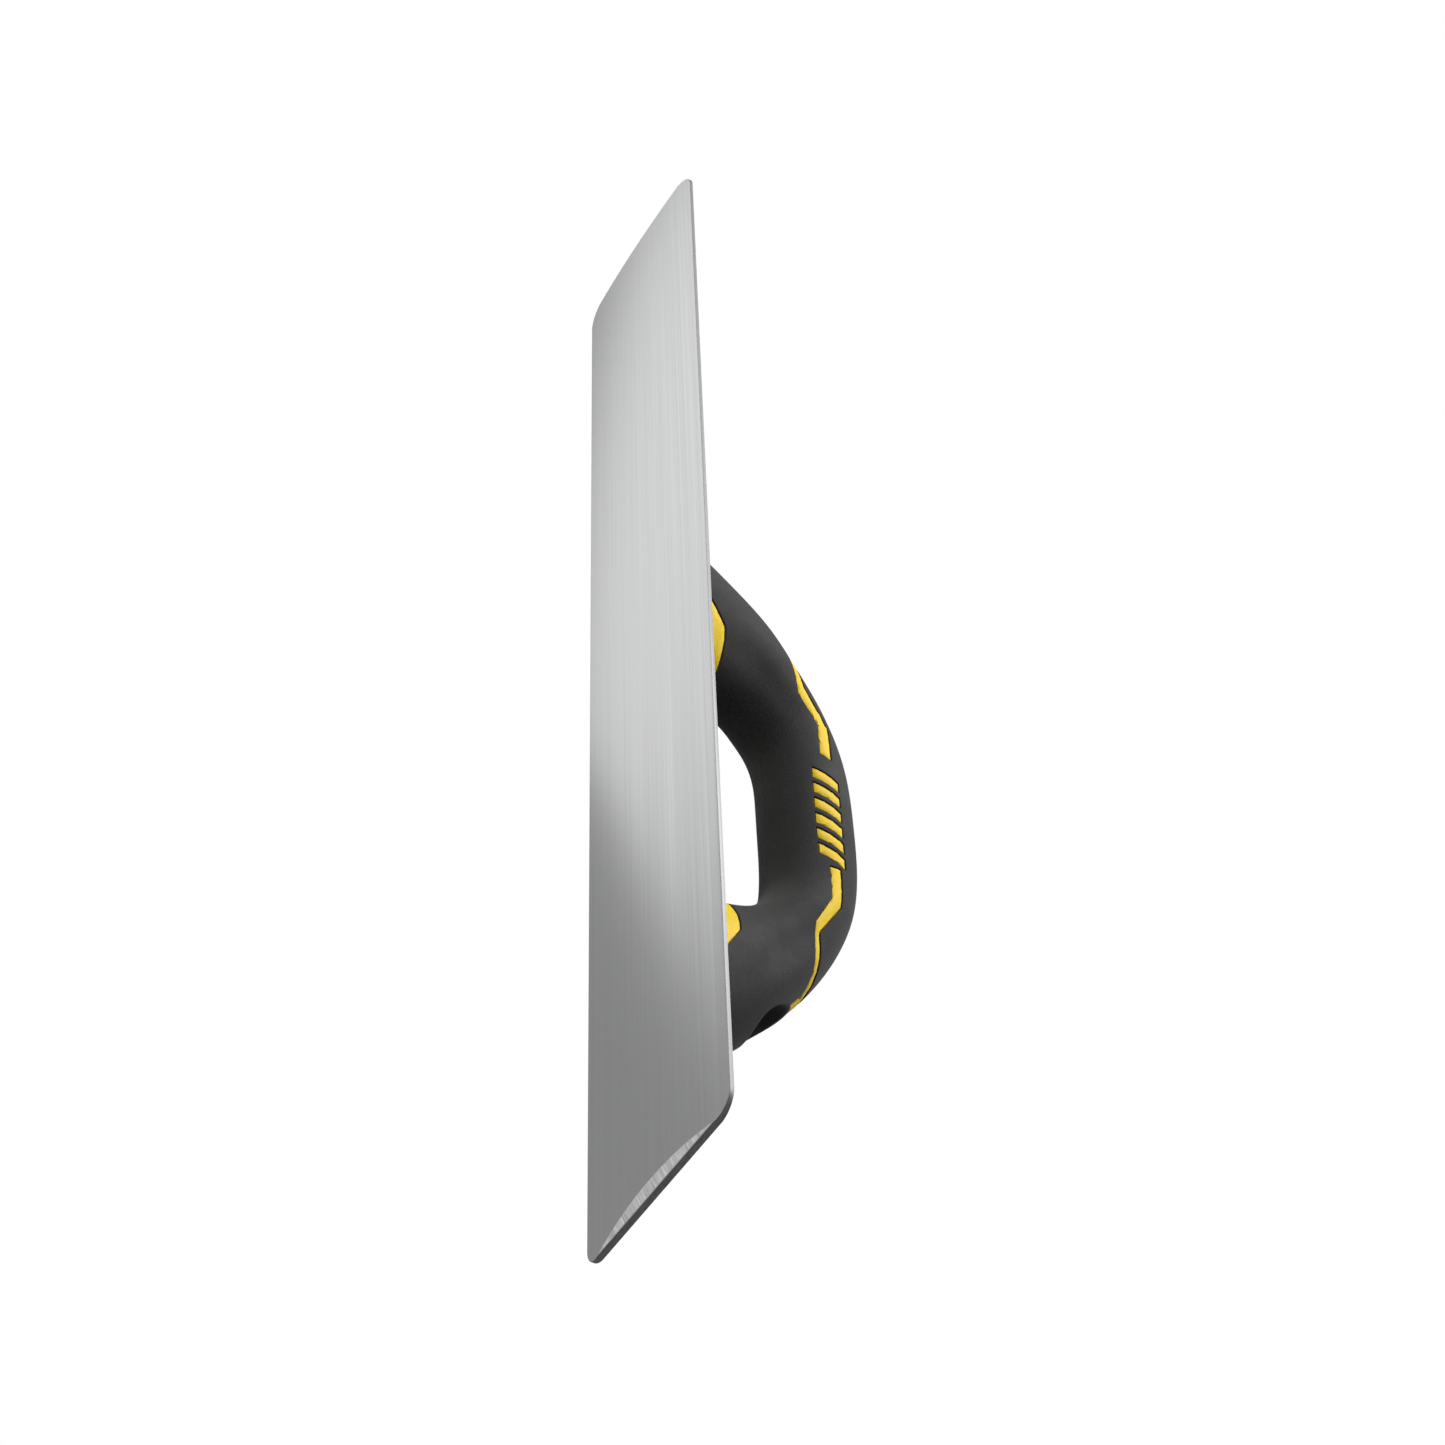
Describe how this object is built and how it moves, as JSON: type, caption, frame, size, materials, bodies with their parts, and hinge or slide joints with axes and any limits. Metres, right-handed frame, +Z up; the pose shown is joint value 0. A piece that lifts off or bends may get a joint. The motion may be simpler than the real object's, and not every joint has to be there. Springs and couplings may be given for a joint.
{
  "type": "finishing trowel",
  "caption": "Long crowned hand trowel for concrete: a flat-backed blade with bevelled ends and round corners, and a closed two-material D handle.",
  "frame": {"origin": "under the middle of the blade's length and width, on the lowest line of its crowned underside", "axes": "+X along the blade to its toe, +Y across the blade, +Z up from the blade to the handle"},
  "size_m": [0.5, 0.08, 0.0783],
  "materials": {
    "blade_metal": "brushed along the length",
    "core_plastic": "satin moulded plastic",
    "grip_rubber": "soft-touch matt",
    "washer_steel": "zinc plated",
    "screw_steel": "black oxide"
  },
  "bodies": {
    "root": {"blade": "blade_metal", "handle_core": "core_plastic", "soft_grip": "grip_rubber", "front_boss": "blade_metal", "front_flat_washer": "washer_steel", "front_lock_washer": "washer_steel", "front_screw": "screw_steel", "rear_boss": "blade_metal", "rear_flat_washer": "washer_steel", "rear_lock_washer": "washer_steel", "rear_screw": "screw_steel"}
  },
  "joints": []
}
